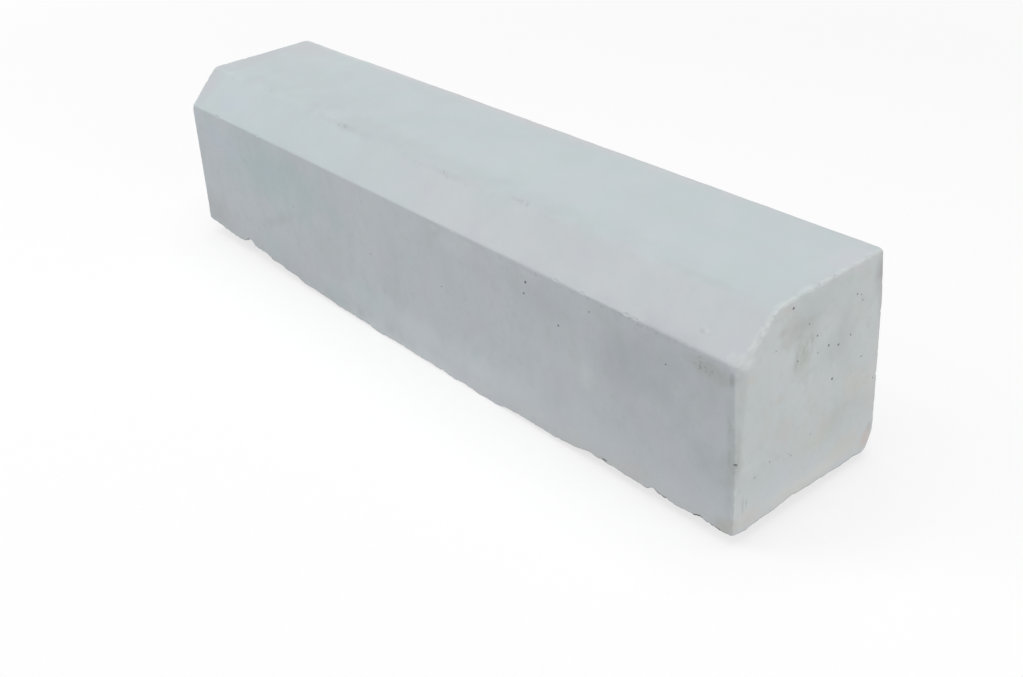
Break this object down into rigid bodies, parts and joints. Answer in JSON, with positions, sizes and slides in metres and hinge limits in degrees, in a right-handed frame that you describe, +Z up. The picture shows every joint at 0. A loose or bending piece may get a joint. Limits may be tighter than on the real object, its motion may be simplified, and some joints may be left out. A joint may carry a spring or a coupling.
{
  "type": "concrete kerb stone",
  "caption": "Straight precast concrete road kerb with a splayed front top edge and a rough, slightly bellied underside.",
  "frame": {"origin": "centre of the bounding box's footprint, on the level floor that the underside rests on", "axes": "+X along the kerb, towards end B, the one with the broken low corner; +Y towards the pavement side, so the splayed road face looks along -Y; +Z up"},
  "size_m": [1, 0.215, 0.237],
  "materials": {
    "cast_concrete": "matte"
  },
  "bodies": {
    "root": {"kerb_stone": "cast_concrete"}
  },
  "joints": []
}
